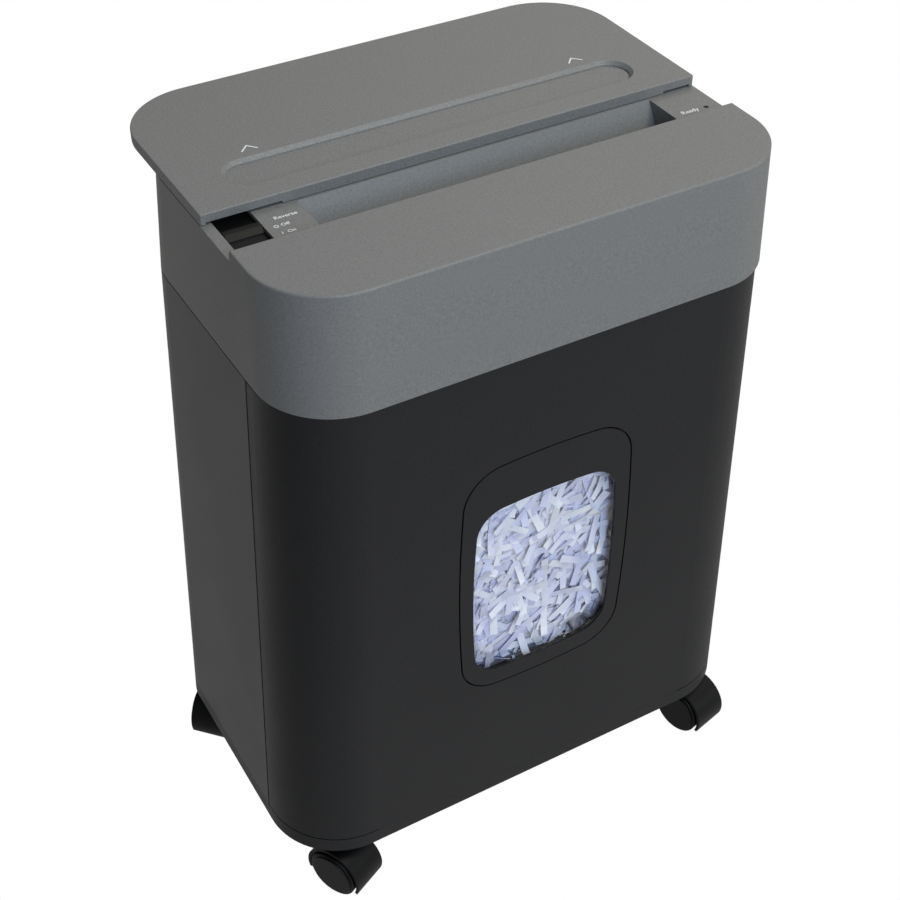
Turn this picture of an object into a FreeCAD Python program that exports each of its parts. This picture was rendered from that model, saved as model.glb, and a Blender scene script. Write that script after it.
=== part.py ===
import FreeCAD, Part
import math
import os
from FreeCAD import Vector

# Office paper shredder: cutter head with a sliding cover on a cabinet with a pull-out bin, on four casters.
#
# Millimetres. +X is the user's right, +Y is the back, +Z is up. The origin is on the floor under the middle
# of the head. The model rests as it is used: cover slid back off the throat, power switch at On, bin pushed in.

# ---- cabinet ------------------------------------------------------------------------------------------
BASE_Z = 49.0                # underside of the base above the floor
SEAM_Z = 416.0               # joint between the cabinet and the cutter head
FRONT_Y = -112.0             # drawer front
REAR_Y = 94.0                # back panel
TOP_HALF = 162.0             # half width at the head seam
BASE_HALF = 177.0            # half width at the base
FRONT_R_TOP = 46.0           # plan radius of the front corners at the head seam
FRONT_R_BASE = 51.0          # plan radius of the front corners at the base
REAR_R_TOP = 38.0            # plan radius of the rear corners at the head seam
REAR_R_BASE = 28.0           # plan radius of the rear corners at the base
WALL = 2.5                   # moulded wall of head, cabinet, drawer front and base
BASE_RIM = 11.2              # height of the base strip below the cabinet walls
SHADOW_HEIGHT = 0.8          # shadow line round the top edge of the cabinet walls
SHADOW_DEPTH = 1.2
BASE_FLOOR = 3.0             # thickness of the base floor
DRAWER_SEAM_Y = FRONT_Y + 55.0  # where the drawer front meets the cabinet sides
DRAWER_GAP = 1.5             # open joint around the drawer front
LIP_INSET = 4.0              # the drawer's bottom edge comes lower between the front corners, inset by this
LIP_CLEAR = 0.15             # the lip stands this close over the base
FLANGE = 9.0                 # inward return of the cabinet's front edges

# ---- cutter head --------------------------------------------------------------------------------------
APRON_Z = SEAM_Z + 74.8      # top of the fixed apron in front of the throat
DECK_Z = APRON_Z - 6.2       # control deck under the cover
HEAD_HALF = TOP_HALF - 2.0   # half width at the top
HEAD_FRONT_TOP = FRONT_Y - 1.0  # front face at the top
HEAD_FRONT_SEAM = FRONT_Y - 3.0  # front face at the seam
HEAD_REAR_TOP = REAR_Y - 2.5  # back face at the top
HEAD_R = 46.4                # plan radius of the top corners
APRON_BACK_Y = FRONT_Y + 65.0  # back edge of the apron
EDGE_R = 1.2                 # rounded top edge of the apron

# ---- sliding cover ------------------------------------------------------------------------------------
COVER_TOP_Z = APRON_Z + 0.8  # top face, just proud of the apron
COVER_SLIDE = 38.0           # travel from open to closed
COVER_WALL = 2.2             # top skin and skirts
COVER_RUN = 0.5              # gap between the skirts and the deck
SIDE_LIP_LIFT = 1.3          # the front lip stands this much higher beside the throat
RECESS_REACH = 119.0         # half distance between the ends' centres of the finger recess
RECESS_R = 14.6              # end radius of the finger recess
RECESS_Y = 29.7              # from the cover's front edge to the middle of the recess
RECESS_DEPTH = 3.0           # depth of the finger recess
RECESS_SLOPE = 2.2           # width and depth of its sloping rim
RECESS_FLOOR = 1.2           # skin under the finger recess
FOOT_X = 124.0               # the two guide feet, left and right of the middle
FOOT_STEM = 6.0              # width of a guide foot in its groove
FOOT_LENGTH = 24.0           # length of a guide foot
FOOT_HEAD = 4.0              # overhang of the foot's head under the deck
FOOT_THICK = 2.5             # thickness of the foot's head
FOOT_BACK = 13.0             # from the cover's back edge to the foot
GUIDE_CLEAR = 0.4            # clearance of the feet in their grooves

# ---- throat -------------------------------------------------------------------------------------------
THROAT_X0 = -104.5           # left end of the throat
THROAT_X1 = 127.0            # right end of the throat
THROAT_BACK_Y = APRON_BACK_Y + 36.4  # back edge of the feed slope
THROAT_SLOPE = 60.0          # slope of the feed ramp, degrees
SLOT_GAP = 5.0               # paper slot
SLOT_Z = SEAM_Z + 18.0       # lower end of the slot
THROAT_WALL = 2.0            # chute wall

# ---- cutters and gears --------------------------------------------------------------------------------
CUTTER_Z = SEAM_Z - 4.0      # cutter axes
CUTTER_MESH = 36.0           # distance between the cutter axes
DISC_R = 20.0                # cutting discs
DRUM_R = 15.0                # drum between the discs
JOURNAL_R = 5.0              # shaft ends
DISC_PITCH = 8.0             # disc spacing on one shaft
DISC_WIDTH = 3.7             # disc thickness
HOOKS = 3                    # teeth on a disc
HOOK_DEPTH = 2.2             # height of a tooth
HOOK_STEP = 17.0             # turn from one disc to the next, degrees
SYNC_TEETH = 20              # the two gears that tie the cutters
CUTTER_GEAR_TEETH = 44       # big gear on the back cutter
IDLER_SMALL_TEETH = 14       # idler gear that drives it
IDLER_LARGE_TEETH = 52       # idler gear on the motor pinion
PINION_TEETH = 14            # motor pinion
DRIVE_MODULE = 1.5           # cutter gear and the idler's small gear
MOTOR_MODULE = 1.0           # pinion and the idler's large gear
GEAR_WIDTH = 5.0             # face width
GEAR_STEP = 6.4              # spacing of the gear planes along the shafts
PLATE = 2.0                  # steel side plates
PLATE_CLEAR = 1.5            # running gap at the plates
RUNNING = 0.05               # radial running clearance of shafts in bores
SNUG = 0.02                  # radial clearance of pieces that stay put in their holes
IDLER_PIN_R = 3.0            # pin the idler turns on
ROD_R = 3.0                  # tie rods
MOTOR_Y = APRON_BACK_Y + 95.0  # motor axis
MOTOR_Z = SEAM_Z + 21.0      # motor axis
MOTOR_R = 27.0               # motor can
MOTOR_LENGTH = 96.0          # motor can length
MOTOR_SHAFT_R = 2.5          # motor shaft

# ---- head tray ----------------------------------------------------------------------------------------
TRAY_Z = SEAM_Z - 44.0       # underside of the tray
TRAY_HALF = TOP_HALF - 23.5  # half width of the tray
TRAY_FRONT_Y = FRONT_Y + 14.0  # outside of the tray walls
TRAY_BACK_Y = REAR_Y - 12.0
TRAY_FIT = 0.4               # tray flange inside the head shell
DROP_LENGTH = 72.0           # opening under the cutters, front to back
TRAY_FLANGE = 2.5            # flange thickness
BOSS_R = 4.0                 # screw bosses
BOSS_SIDE = 9.5              # boss centre inside the head's side
BOSS_FRONT = 15.0            # front bosses ahead of the apron's back edge
BOSS_BACK = 55.5             # rear bosses ahead of the head's back
SCREW_R = 1.75               # self-tapping screws
SCREW_HEAD_R = 3.4
SCREW_HEAD = 2.4             # height of a screw head
SCREW_LENGTH = 14.0
TRAY_R = 6.0                 # upright edges of the tray

# ---- drawer, bin and window ---------------------------------------------------------------------------
BIN_HALF = TOP_HALF - 28.0   # half width of the bin tub
BIN_FRONT_Y = FRONT_Y + 6.0  # outside of the bin walls
BIN_BACK_Y = REAR_Y - 16.0
BIN_R = 12.0                 # upright edges of the bin
RIB_HALF = 110.0             # half length of the drawer front's two ribs, which the bin is screwed to
RIB_THICK = 3.0
RIB_LOW = 12.0               # lower rib above the drawer's bottom
RIB_HIGH = 8.0               # upper rib below the bin's rim
BIN_TOP_Z = TRAY_Z - 10.0
BIN_WALL = 2.2               # bin wall and floor
RUNNER_X = BIN_HALF - 34.0   # the two floor runners under the bin
RUNNER_TOP_Z = BASE_Z + 11.0
RUNNER_WIDTH = 12.0
RUNNER_CLEAR = 0.3           # bin floor above the runners
WINDOW_Z = BASE_Z + 200.0    # middle of the window bezel
BEZEL = (60.3, 93.3, 3.8, 27.0)                 # half width, half height, bow of a side, corner radius
BEZEL_FIT = 1.0              # joint around the bezel
BEZEL_LIP = 5.0              # bezel flange behind the drawer front
BEZEL_FLANGE = 1.5           # its thickness
PANE_Z = WINDOW_Z - 9.7      # middle of the pane
PANE = (51.0, 70.6, 3.0, 20.0)                  # the same for the pane
PANE_SET = 1.0               # pane face behind the bezel face
PANE_LIP = 4.0               # pane border held behind the bezel
PANE_FIT = 0.1               # clearance around the pane
PANE_THICK = 2.0
PANE_DISH = 4.6              # the pane's middle is sunk this far behind its rim
PANE_ROLL = 3.8              # rolled edge round the sunk middle
FILL_Z = BIN_TOP_Z - 27.0    # top of the shredded paper
FILL_CLEAR = 0.5             # paper inside the bin
FILL_FRONT = 2.5             # paper behind the bin's front wall and its screw heads

# ---- controls and fittings ----------------------------------------------------------------------------
SWITCH_X = WALL + 15.2 - HEAD_HALF  # power switch
SWITCH_HALF = 11.2           # half width of its slot
SLIDER_EDGE = 1.8            # slider reaches this far under the deck beside the slot
SWITCH_RAIL = 1.6            # wall of the rails that guide it
SWITCH_SLOT_BACK = APRON_BACK_Y + 44.6  # back end of its slot
SWITCH_STEP = 7.7            # travel between Reverse, Off and On
KNOB_FRONT_Y = APRON_BACK_Y + 19.5  # front of the thumb ridge at On
KNOB_LENGTH = 9.0
KNOB_FACE = 3.4              # run of the ridge's sloping front face
SLIDE_CLEAR = 0.3            # clearance around the slider
SLIDER_THICK = 2.4
LAMP_X = HEAD_HALF - 9.0     # ready lamp
LAMP_Y = APRON_BACK_Y + 12.8
LAMP_R = 1.6
GLAND_X = 96.0               # cord gland in the back wall
GLAND_Z = SEAM_Z + 24.0
GLAND_R = 8.0
GLAND_LENGTH = 12.0
GLAND_FLANGE = 3.0
CORD_BORE_R = 3.6
SENSOR_X = 11.0              # paper sensor lever
SENSOR_Y = THROAT_BACK_Y - 1.4
SENSOR_Z = SEAM_Z + 36.0
SENSOR_PIN_R = 1.5
EAR_X = 6.0                  # the two ears that hold its pin, either side of it
EAR_HALF = 1.0
EAR_REACH = 4.5              # ear beyond the pin's axis
LEVER_HALF = 1.5             # half thickness of the lever
LEVER_CLEAR = 1.0            # gap beside it in the chute's notch
LEVER_SWEEP = 20.0           # notch below the pin, for the lever's swing
LEVER_RISE = 4.0             # notch above the pin
LEVER_HUB_R = 3.4
BOARD_CORNERS = (30.0, 4.0, 122.0, 60.0)        # control board, x and y of two corners
BOARD_THICK = 1.6
BOARD_POST = 6.0             # height of its posts

# ---- casters ------------------------------------------------------------------------------------------
CASTER_FRONT_X = BASE_HALF - 31.0  # swivel axes
CASTER_REAR_X = BASE_HALF - 27.0
CASTER_FRONT_Y = FRONT_Y + 30.0
CASTER_REAR_Y = REAR_Y - 11.0
WHEEL_R = 18.0
TRAIL = 14.0                 # wheel axle behind the swivel axis
WHEEL_GAP = 2.4              # wheel's inner face from the caster's middle
WHEEL_REACH = 15.8           # wheel's outer face from the caster's middle
WHEEL_DISC_R = 15.8          # raised face of the wheel
WHEEL_STEP = 1.0             # its height over the tread's side
WHEEL_CAP = 2.8              # plastic between the axle's end and that face
TYRE_EDGE = 1.0              # rounded edge of the tread
DISC_EDGE = 0.4              # rounded edge of the raised face
HOOD_R = 21.6                # hood outside
HOOD_WALL = 2.2
HOOD_HALF = 13.4             # hood half width
HOOD_TIPS = (-22.0, 200.0)   # hood from its front tip over the top to its back tip, degrees
WEB = 1.9                    # half thickness of the plate between the wheels
AXLE_R = 2.0
STEM_R = 4.0
STEM_TOP_Z = BASE_Z + 25.0
SOCKET_WALL = 4.0
HOOD_TURN = {"front_left": 25.6, "front_right": 14.0, "rear_left": -47.0, "rear_right": 38.0}

OUT = "parts"
X_AXIS = Vector(1, 0, 0)
Y_AXIS = Vector(0, 1, 0)
Z_AXIS = Vector(0, 0, 1)
BIG = 900.0                  # larger than the whole object, for cutting tools


# ---- plain solids -------------------------------------------------------------------------------------
def box(x0, x1, y0, y1, z0, z1):
    """Box between opposite corners."""
    return Part.makeBox(x1 - x0, y1 - y0, z1 - z0, Vector(x0, y0, z0))


def rod(radius, start, axis, length):
    """Cylinder from a start point along an axis."""
    return Part.makeCylinder(radius, length, start, axis)


def x_rod(radius, x0, x1, y, z):
    """Cylinder along X between two stations."""
    return rod(radius, Vector(x0, y, z), X_AXIS, x1 - x0)


def x_prism(points, x0, x1):
    """Polygon of (y, z) points pushed along X."""
    corners = [Vector(x0, y, z) for y, z in points]
    face = Part.Face(Part.makePolygon(corners + corners[:1]))
    return face.extrude(Vector(x1 - x0, 0, 0))


def z_prism(points, z0, z1):
    """Polygon of (x, y) points pushed along Z."""
    corners = [Vector(x, y, z0) for x, y in points]
    face = Part.Face(Part.makePolygon(corners + corners[:1]))
    return face.extrude(Vector(0, 0, z1 - z0))


def fuse(shapes):
    """Union of a list of solids, with coplanar faces merged."""
    first, rest = shapes[0], shapes[1:]
    return first.multiFuse(rest).removeSplitter() if rest else first


def export(node, shape):
    """Write one node; the file's name is the node's name."""
    shape.exportStep(os.path.join(OUT, node + ".step"))


# ---- the tapered outlines -----------------------------------------------------------------------------
def section(z, half, front, back, front_r, back_r):
    """Closed plan outline at height z: a rectangle with round front and back corners."""
    points = []
    edges = []
    corners = ((half, front, front_r, -90), (half, back, back_r, 0), (-half, back, back_r, 90),
               (-half, front, front_r, 180))
    for x, y, r, start in corners:
        centre = Vector(x - math.copysign(r, x), y - math.copysign(r, y - (front + back) / 2), z)
        angles = [math.radians(start + turn) for turn in (0, 45, 90)]
        points.append([centre + Vector(r * math.cos(angle), r * math.sin(angle), 0) for angle in angles])
    for i, arc in enumerate(points):
        following = points[(i + 1) % 4]
        edges.append(Part.Arc(*arc).toShape())
        edges.append(Part.makeLine(arc[2], following[0]))
    return Part.Wire(edges)


def mix(z, base, top):
    """Linear value between the base and the head seam."""
    return base + (top - base) * (z - BASE_Z) / (SEAM_Z - BASE_Z)


def body_section(z, inset=0.0):
    """Outline of the cabinet at height z, moved inward."""
    return section(z, mix(z, BASE_HALF, TOP_HALF) - inset, FRONT_Y + inset, REAR_Y - inset,
                   mix(z, FRONT_R_BASE, FRONT_R_TOP) - inset, mix(z, REAR_R_BASE, REAR_R_TOP) - inset)


def body_loft(z0, z1, inset=0.0):
    """Tapered block of the cabinet between two heights."""
    return Part.makeLoft([body_section(z0, inset), body_section(z1, inset)], True, True)


def head_section(z, inset=0.0):
    """Outline of the cutter head at height z, moved inward."""
    rise = (z - SEAM_Z) / (APRON_Z - SEAM_Z)
    half = TOP_HALF + (HEAD_HALF - TOP_HALF) * rise
    front = HEAD_FRONT_SEAM + (HEAD_FRONT_TOP - HEAD_FRONT_SEAM) * rise
    back = REAR_Y + (HEAD_REAR_TOP - REAR_Y) * rise
    back_r = REAR_R_TOP + (HEAD_R - REAR_R_TOP) * rise
    return section(z, half - inset, front + inset, back - inset, HEAD_R - inset, back_r - inset)


def head_loft(z0, z1, inset=0.0):
    """Tapered block of the head between two heights."""
    return Part.makeLoft([head_section(z0, inset), head_section(z1, inset)], True, True)


# ---- throat geometry ----------------------------------------------------------------------------------
SLOT_Y = (APRON_BACK_Y + THROAT_BACK_Y) / 2 - 9.7           # middle of the paper slot, between the cutters
SLOT_FRONT_Y = SLOT_Y - SLOT_GAP / 2
SLOT_BACK_Y = SLOT_Y + SLOT_GAP / 2
RAMP_FOOT_Z = DECK_Z - (THROAT_BACK_Y - SLOT_BACK_Y) * math.tan(math.radians(THROAT_SLOPE))


def throat_profile(grow):
    """(y, z) outline of the throat's hollow, or of its walls when grown."""
    return [(APRON_BACK_Y - grow, APRON_Z + 5), (APRON_BACK_Y - grow, RAMP_FOOT_Z + 20),
            (SLOT_FRONT_Y - grow, RAMP_FOOT_Z), (SLOT_FRONT_Y - grow, SLOT_Z - 1 + min(grow, 1)),
            (SLOT_BACK_Y + grow, SLOT_Z - 1 + min(grow, 1)), (SLOT_BACK_Y + grow, RAMP_FOOT_Z),
            (THROAT_BACK_Y + grow, DECK_Z), (THROAT_BACK_Y + grow, APRON_Z + 5)]


# ---- cutter head shell --------------------------------------------------------------------------------
BOSS_PLACES = [(x, y) for y in (APRON_BACK_Y - BOSS_FRONT, HEAD_REAR_TOP - BOSS_BACK)
               for x in (BOSS_SIDE - HEAD_HALF, HEAD_HALF - BOSS_SIDE)]


def cover_back_y():
    """Back edge of the cover in its rest place, slid open."""
    return HEAD_REAR_TOP + COVER_SLIDE


def foot_span():
    """Front and back of the guide feet at rest."""
    back = cover_back_y() - FOOT_BACK - COVER_SLIDE
    return back - FOOT_LENGTH, back


def head_shell():
    """Upper housing: apron, control deck, throat, grooves for the cover and bosses for the tray."""
    shell = head_loft(SEAM_Z, APRON_Z)
    shell = shell.cut(box(-BIG, BIG, APRON_BACK_Y, BIG, DECK_Z, BIG))
    rim = [edge for edge in shell.Edges
           if edge.BoundBox.ZMin > APRON_Z - 0.01 and edge.BoundBox.YMin < APRON_BACK_Y - 0.01]
    shell = shell.makeFillet(EDGE_R, rim)
    deck_cavity = head_loft(SEAM_Z - 1, DECK_Z - WALL, WALL)
    apron_cavity = head_loft(SEAM_Z - 1, APRON_Z - WALL, WALL).cut(
        box(-BIG, BIG, APRON_BACK_Y - WALL, BIG, SEAM_Z - 5, BIG))
    shell = shell.cut(deck_cavity).cut(apron_cavity)
    chute = x_prism(throat_profile(THROAT_WALL), THROAT_X0 - THROAT_WALL, THROAT_X1 + THROAT_WALL)
    chute = chute.common(head_loft(SEAM_Z, DECK_Z - WALL / 2, WALL / 2))
    ears = []
    for side in (-1, 1):
        x = SENSOR_X + side * EAR_X
        ears.append(box(x - EAR_HALF, x + EAR_HALF, SLOT_BACK_Y + THROAT_WALL / 2, SENSOR_Y + EAR_REACH,
                        SENSOR_Z - EAR_REACH, SENSOR_Z + EAR_REACH))
    bosses = []
    for x, y in BOSS_PLACES:
        ceiling = APRON_Z if y < APRON_BACK_Y else DECK_Z
        bosses.append(rod(BOSS_R, Vector(x, y, SEAM_Z + TRAY_FLANGE), Z_AXIS,
                          ceiling - WALL / 2 - SEAM_Z - TRAY_FLANGE))
    shell = fuse([shell, chute] + ears + bosses)
    shell = shell.cut(x_prism(throat_profile(0), THROAT_X0, THROAT_X1))
    for x, y in BOSS_PLACES:
        shell = shell.cut(rod(SCREW_R, Vector(x, y, SEAM_Z), Z_AXIS, SCREW_LENGTH + 2))
    front, back = foot_span()
    for x in (-FOOT_X, FOOT_X):
        half = FOOT_STEM / 2 + GUIDE_CLEAR
        shell = shell.cut(box(x - half, x + half, front - COVER_SLIDE - GUIDE_CLEAR, back + GUIDE_CLEAR,
                              DECK_Z - WALL - 1, DECK_Z + 1))
    shell = shell.cut(box(SWITCH_X - SWITCH_HALF, SWITCH_X + SWITCH_HALF, APRON_BACK_Y, SWITCH_SLOT_BACK,
                          DECK_Z - WALL - 1, DECK_Z + 1))
    shell = shell.cut(rod(LAMP_R, Vector(LAMP_X, LAMP_Y, DECK_Z - 5), Z_AXIS, 10))
    shell = shell.cut(rod(GLAND_R, Vector(GLAND_X, REAR_Y - 10, GLAND_Z), Y_AXIS, 20))
    half = LEVER_HALF + LEVER_CLEAR
    shell = shell.cut(box(SENSOR_X - half, SENSOR_X + half, SLOT_BACK_Y - 1, SENSOR_Y, SENSOR_Z - LEVER_SWEEP,
                          SENSOR_Z + LEVER_RISE))
    return shell.cut(x_rod(SENSOR_PIN_R, SENSOR_X - BIG, SENSOR_X + BIG, SENSOR_Y, SENSOR_Z).common(
        box(SENSOR_X - EAR_X - 2, SENSOR_X + EAR_X + 2, -BIG, BIG, 0, BIG)))


# ---- sliding cover ------------------------------------------------------------------------------------
def cover_outline(z, inset=0.0):
    """Plan outline of the cover, straight at the front and round at the back."""
    front = APRON_BACK_Y + COVER_SLIDE
    return section(z, HEAD_HALF - inset, front + inset, cover_back_y() - inset, 1.2, HEAD_R - inset)


def plate(wire, height):
    """Outline filled and pushed up."""
    return Part.Face(wire).extrude(Vector(0, 0, height))


def sliding_cover():
    """Thin cover with skirts, a finger recess and two guide feet that run in the deck's grooves."""
    low = DECK_Z + COVER_RUN
    cover = plate(cover_outline(low), COVER_TOP_Z - low)
    rim = [edge for edge in cover.Edges if edge.BoundBox.ZMin > COVER_TOP_Z - 0.01]
    cover = cover.makeFillet(0.7, rim)
    cover = cover.cut(plate(cover_outline(low - 1, COVER_WALL), COVER_TOP_Z - COVER_WALL - low + 1))
    front = APRON_BACK_Y + COVER_SLIDE
    for x0, x1 in ((-HEAD_HALF + 3, THROAT_X0 - 8), (THROAT_X1 + 11, HEAD_HALF - 3)):
        cover = cover.cut(box(x0, x1, front - 1, front + COVER_WALL + 0.1, low - 1, low + SIDE_LIP_LIFT))
    middle = front + RECESS_Y

    def recess(radius, z0, z1):
        ends = [rod(radius, Vector(side * RECESS_REACH, middle, z0), Z_AXIS, z1 - z0) for side in (-1, 1)]
        return fuse(ends + [box(-RECESS_REACH, RECESS_REACH, middle - radius, middle + radius, z0, z1)])

    floor_z = COVER_TOP_Z - RECESS_DEPTH
    cover = fuse([cover, recess(RECESS_R + COVER_WALL, floor_z - RECESS_FLOOR, COVER_TOP_Z - COVER_WALL / 2)])
    step_z = COVER_TOP_Z - RECESS_SLOPE
    rim = recess(RECESS_R, step_z, COVER_TOP_Z + 1)
    low_edges = [edge for edge in rim.Edges if edge.BoundBox.ZMax < step_z + 0.01]
    cover = cover.cut(rim.makeChamfer(RECESS_SLOPE, low_edges))
    cover = cover.cut(recess(RECESS_R - RECESS_SLOPE, floor_z, COVER_TOP_Z))
    y0, y1 = foot_span()
    stem_low = DECK_Z - WALL - GUIDE_CLEAR
    feet = []
    for x in (-FOOT_X, FOOT_X):
        half = FOOT_STEM / 2
        feet.append(box(x - half, x + half, y0, y1, stem_low - FOOT_THICK, COVER_TOP_Z - COVER_WALL / 2))
        reach = half + FOOT_HEAD
        feet.append(box(x - reach, x + reach, y0, y1, stem_low - FOOT_THICK, stem_low))
    return fuse([cover] + feet)


# ---- head tray ----------------------------------------------------------------------------------------
def head_tray():
    """Lower tray that carries the cutting unit and closes the head, open under the cutters."""
    flange_z = SEAM_Z + TRAY_FLANGE
    flange = Part.makeLoft([head_section(SEAM_Z, WALL + TRAY_FIT), head_section(flange_z, WALL + TRAY_FIT)],
                           True, True)
    trough = box(-TRAY_HALF, TRAY_HALF, TRAY_FRONT_Y, TRAY_BACK_Y, TRAY_Z, flange_z)
    upright = [edge for edge in trough.Edges if edge.BoundBox.ZLength > 10]
    trough = trough.makeFillet(TRAY_R, upright)
    tray = fuse([flange, trough])
    tray = tray.cut(box(-TRAY_HALF + WALL, TRAY_HALF - WALL, TRAY_FRONT_Y + WALL, TRAY_BACK_Y - WALL,
                        TRAY_Z + WALL, BIG))
    reach = DROP_LENGTH / 2
    tray = tray.cut(box(THROAT_X0, THROAT_X1, SLOT_Y - reach, SLOT_Y + reach, TRAY_Z - 1, TRAY_Z + WALL + 1))
    for x, y in BOSS_PLACES:
        tray = tray.cut(rod(SCREW_R + 0.25, Vector(x, y, SEAM_Z - 1), Z_AXIS, 10))
    return tray


def head_screws():
    """Four self-tapping screws that hold the tray to the head shell."""
    screws = []
    for x, y in BOSS_PLACES:
        shank = rod(SCREW_R - SNUG, Vector(x, y, SEAM_Z - SCREW_HEAD / 2), Z_AXIS, SCREW_LENGTH)
        head = rod(SCREW_HEAD_R, Vector(x, y, SEAM_Z - SCREW_HEAD), Z_AXIS, SCREW_HEAD)
        screws.append(fuse([shank, head]))
    return Part.makeCompound(screws)


# ---- gears --------------------------------------------------------------------------------------------
def gear_outline(module, teeth, turn):
    """Involute outline as (y, z) points around the origin, with one tooth centred at the angle turn."""
    pitch_r = module * teeth / 2
    base_r = pitch_r * math.cos(math.radians(20))
    tip_r = pitch_r + 0.85 * module
    root_r = pitch_r - 1.2 * module
    involute = math.tan(math.radians(20)) - math.radians(20)
    half_tooth = math.pi / (2 * teeth) * 0.86 + involute
    flank = []
    for step in range(5):
        r = max(base_r, root_r) + (tip_r - max(base_r, root_r)) * step / 4
        roll = math.sqrt(max((r / base_r) ** 2 - 1, 0))
        flank.append((r, half_tooth - (roll - math.atan(roll))))
    points = []
    for tooth in range(teeth):
        middle = math.radians(turn) + 2 * math.pi * tooth / teeth
        side = [(root_r, half_tooth)] + flank if root_r < base_r else flank
        for r, half in side:
            points.append((r * math.cos(middle - half), r * math.sin(middle - half)))
        for r, half in reversed(side):
            points.append((r * math.cos(middle + half), r * math.sin(middle + half)))
    return points


def gear(module, teeth, turn, x0, centre, bore_r):
    """Spur gear on an X axis through the (y, z) centre."""
    y, z = centre
    blank = x_prism([(y + a, z + b) for a, b in gear_outline(module, teeth, turn)], x0, x0 + GEAR_WIDTH)
    return blank.cut(x_rod(bore_r, x0 - 1, x0 + GEAR_WIDTH + 1, y, z)) if bore_r else blank


def meshed_turn(turn, teeth, other_teeth, direction):
    """Turn of the second gear that puts it in mesh with the first, along the line of centres."""
    return direction + 180 - (teeth / other_teeth) * (turn - direction) - 180 / other_teeth


def heading(start, end):
    """Angle of the line between two (y, z) points, in degrees."""
    return math.degrees(math.atan2(end[1] - start[1], end[0] - start[0]))


FRONT_AXIS = (SLOT_Y - CUTTER_MESH / 2, CUTTER_Z)
BACK_AXIS = (SLOT_Y + CUTTER_MESH / 2, CUTTER_Z)
MOTOR_AXIS = (MOTOR_Y, MOTOR_Z)


def idler_axis():
    """Centre that keeps both centre distances: to the motor pinion and to the cutter gear."""
    to_motor = MOTOR_MODULE * (PINION_TEETH + IDLER_LARGE_TEETH) / 2
    to_cutter = DRIVE_MODULE * (IDLER_SMALL_TEETH + CUTTER_GEAR_TEETH) / 2
    span = math.hypot(MOTOR_AXIS[0] - BACK_AXIS[0], MOTOR_AXIS[1] - BACK_AXIS[1])
    along = (to_cutter ** 2 - to_motor ** 2 + span ** 2) / (2 * span)
    across = math.sqrt(to_cutter ** 2 - along ** 2)
    unit = ((MOTOR_AXIS[0] - BACK_AXIS[0]) / span, (MOTOR_AXIS[1] - BACK_AXIS[1]) / span)
    return (BACK_AXIS[0] + along * unit[0] - across * unit[1],
            BACK_AXIS[1] + along * unit[1] + across * unit[0])


IDLER_AXIS = idler_axis()
LEFT_PLATE_X = THROAT_X0 - THROAT_WALL - PLATE_CLEAR - PLATE          # outer face of the left plate
RIGHT_PLATE_X = THROAT_X1 + THROAT_WALL + PLATE_CLEAR                 # inner face of the right plate
SYNC_X = LEFT_PLATE_X - 1.0 - GEAR_WIDTH
DRIVE_X = SYNC_X - GEAR_STEP
MOTOR_GEAR_X = DRIVE_X - GEAR_STEP


# ---- cutters ------------------------------------------------------------------------------------------
def disc_outline(turn):
    """(y, z) outline of a cutting disc: arcs that end in hooked teeth."""
    points = []
    for hook in range(HOOKS):
        start = turn + 360.0 * hook / HOOKS
        for step in range(8):
            angle = math.radians(start + 360.0 / HOOKS * step / 8)
            r = DISC_R - HOOK_DEPTH * (1 - step / 7)
            points.append((r * math.cos(angle), r * math.sin(angle)))
        tip = math.radians(start + 360.0 / HOOKS * 7.15 / 8)
        points.append((DISC_R * math.cos(tip), DISC_R * math.sin(tip)))
    return points


def cutter(axis, shift, hand, x_end):
    """Steel cutter: drum, discs with staggered hooks and two journals."""
    y, z = axis
    parts = [x_rod(DRUM_R, THROAT_X0, THROAT_X1, y, z),
             x_rod(JOURNAL_R, x_end, RIGHT_PLATE_X + PLATE + 3, y, z)]
    count = int((THROAT_X1 - THROAT_X0 - shift - DISC_WIDTH) / DISC_PITCH) + 1
    for i in range(count):
        x0 = THROAT_X0 + shift + i * DISC_PITCH
        outline = [(y + a, z + hand * b) for a, b in disc_outline(i * HOOK_STEP)]
        parts.append(x_prism(outline, x0, x0 + DISC_WIDTH))
    return fuse(parts)


def comb(axis, shift, side):
    """Stripper comb: a bar between the side plates with a finger in every gap between discs."""
    y, z = axis
    gap = DISC_PITCH - DISC_WIDTH
    bar_near = y + side * (DISC_R + 1.5)
    bar_far = bar_near + side * 6
    points = [(LEFT_PLATE_X + PLATE, bar_far), (LEFT_PLATE_X + PLATE, bar_near)]
    tip = y + side * (DRUM_R + 0.7)
    count = int((THROAT_X1 - THROAT_X0 - shift) / DISC_PITCH)
    for i in range(count):
        x0 = THROAT_X0 + shift + i * DISC_PITCH + DISC_WIDTH + 0.5
        x1 = x0 + gap - 1.0
        points += [(x0, bar_near), (x0, tip), (x1, tip), (x1, bar_near)]
    points += [(RIGHT_PLATE_X, bar_near), (RIGHT_PLATE_X, bar_far)]
    return z_prism(points, z - 6, z + 6)


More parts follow.
